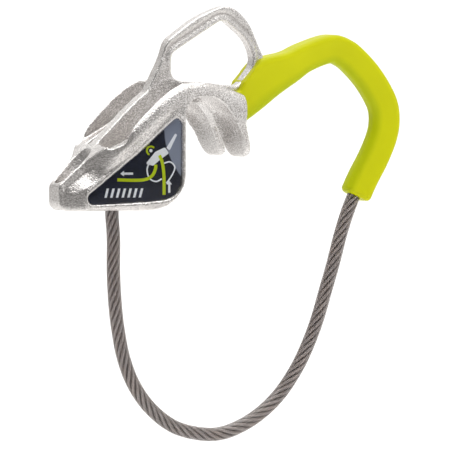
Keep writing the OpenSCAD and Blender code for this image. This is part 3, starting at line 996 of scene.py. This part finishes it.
def arrow(tip, tail, width):
    """A plain arrow from tail to tip."""
    tip, tail = np.array(tip, float), np.array(tail, float)
    along = (tip - tail) / np.linalg.norm(tip - tail)
    out = np.array([-along[1], along[0]])
    neck = tip - along * width * 1.5
    return [tuple(q) for q in (tip, neck + out * width * 1.1, neck + out * width * 0.45,
                               tail + out * width * 0.45, tail - out * width * 0.45,
                               neck - out * width * 0.45, neck - out * width * 1.1)]


def circle(centre, r, n=24):
    """A circle's outline."""
    return [(centre[0] + r * math.cos(2 * math.pi * k / n),
             centre[1] + r * math.sin(2 * math.pi * k / n)) for k in range(n)]


def arc(centre, r, start, stop, n=12):
    """Points along an arc between two angles in degrees."""
    turns = np.radians(np.linspace(start, stop, n))
    return [(centre[0] + r * math.cos(a), centre[1] + r * math.sin(a)) for a in turns]


def white_shapes():
    """A generic diagram: arrows, a clip, a wedge with its eye, and slanted bars."""
    bars = [[(u, -41.3), (u + 0.75, -41.3), (u + 1.45, -38.6), (u + 0.7, -38.6)]
            for u in np.arange(-25.2, -13.5, 1.75)]
    clip = [(-11.2, -30.6), (-12.1, -33), (-11.4, -35.6), (-9.4, -36.6), (-7.6, -35.8)]
    hook = [(-6.9, -31.2), (-5, -30.8), (-3.6, -32.4), (-4.5, -34.8), (-6.2, -37.2)]
    wedge = rounded([(-12.6, -31.4, 0.4), (-9.6, -27.8, 0.6), (-6.6, -26.4, 0.5),
                     (-5.4, -28.2, 0.4), (-8.2, -30.2, 0.6), (-10.2, -31.9, 0.4)], 3)
    finger = rounded([(-6.2, -26.6, 0.3), (-3.4, -22.2, 0.4), (-2.9, -22.8, 0.4),
                      (-5.2, -27.4, 0.3)], 3)
    return [arrow((-20.3, -34.2), (-16.4, -34.2), 0.75),
            arrow((-5.3, -36.4), (-5.3, -40), 0.75), ribbon(clip, 0.45),
            ribbon(hook, 0.45), [tuple(q) for q in wedge], [tuple(q) for q in finger],
            circle((-10.9, -27.4), 0.5), *bars]


def lime_shapes():
    """The two rope runs and the ring of the diagram."""
    lead = [(-21.2, -36), (-16.5, -36.2), (-12.8, -36), (-10.6, -34.9), (-9.6, -33),
            (-9.4, -31.6)]
    brake = [(-6.9, -40.6), (-6.9, -37.4), (-7.0, -34), (-7.5, -30.8), (-8.3, -28.8)]
    ring = arc((-10.9, -27.4), 1.25, 40, 250)
    return [ribbon(lead, 0.95), ribbon(brake, 0.95), ribbon(ring, 0.55)]


def dome_mesh(side):
    """A poured dome, crowned over its whole width as resin settles."""
    low = FILM - RECESS - 0.06
    edge = FILM - RECESS + DOME_RIM - 0.12
    centre = np.array(DOME_MIDDLE)
    rings = [(label_outline(LABEL_GAP), low), (label_outline(LABEL_GAP), edge - 0.12),
             (label_outline(LABEL_GAP + 0.03), edge - 0.05)]
    inner = label_outline(LABEL_GAP + 0.1)
    for share in np.linspace(1, 0.04, 26):
        rings.append((centre + (inner - centre) * share,
                      edge + (DOME_RISE + 0.1) * (1 - share ** 2.2)))
    points = [from_wall(u, v, w, side) for outline, w in rings for u, v in outline]
    return mesh_from("dome", points, ring_faces(len(rings), len(inner)))


def make_labels():
    """On each label wall, a printed film with two inks under a clear dome."""
    base = film()
    white = ink("ink_white", (0.86, 0.88, 0.92), (0.93, 0.95, 0.99))
    lime = ink("ink_lime", (0.50, 0.62, 0.0), (0.58, 0.70, 0.005))
    clear = dome()
    inks = [("white", white_shapes(), white, WHITE_HEIGHT),
            ("lime", lime_shapes(), lime, LIME_HEIGHT)]
    top = FILM - RECESS
    for side, word in ((-1, "left"), (1, "right")):
        sheet = join_meshes("film", [prism(label_outline(LABEL_GAP, 12), -RECESS, top, side)])
        make_piece(f"printed_film_{word}", sheet, base, f"label_film_{word}",
                   sharp=math.radians(30))
        for name, shapes, paint, height in inks:
            mesh = join_meshes(name, [prism(shape, top - INK_SINK, top + height, side)
                                      for shape in shapes])
            make_piece(f"label_{name}_{word}", mesh, paint,
                       sharp=math.radians(30))
        resin = make_piece(f"clear_dome_{word}", dome_mesh(side), clear,
                           f"label_dome_{word}", sharp=math.radians(60))
        resin.visible_shadow = False


def finish_ferrules():
    """The ferrules keep their CAD shape and take a turned steel."""
    steel = ferrule_steel()
    for node in ("front_ferrule", "rear_ferrule"):
        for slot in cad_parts[node].material_slots:
            slot.material = steel


make_camera()
make_rope()
make_stage()
make_casting()
make_loop()
make_labels()
finish_ferrules()
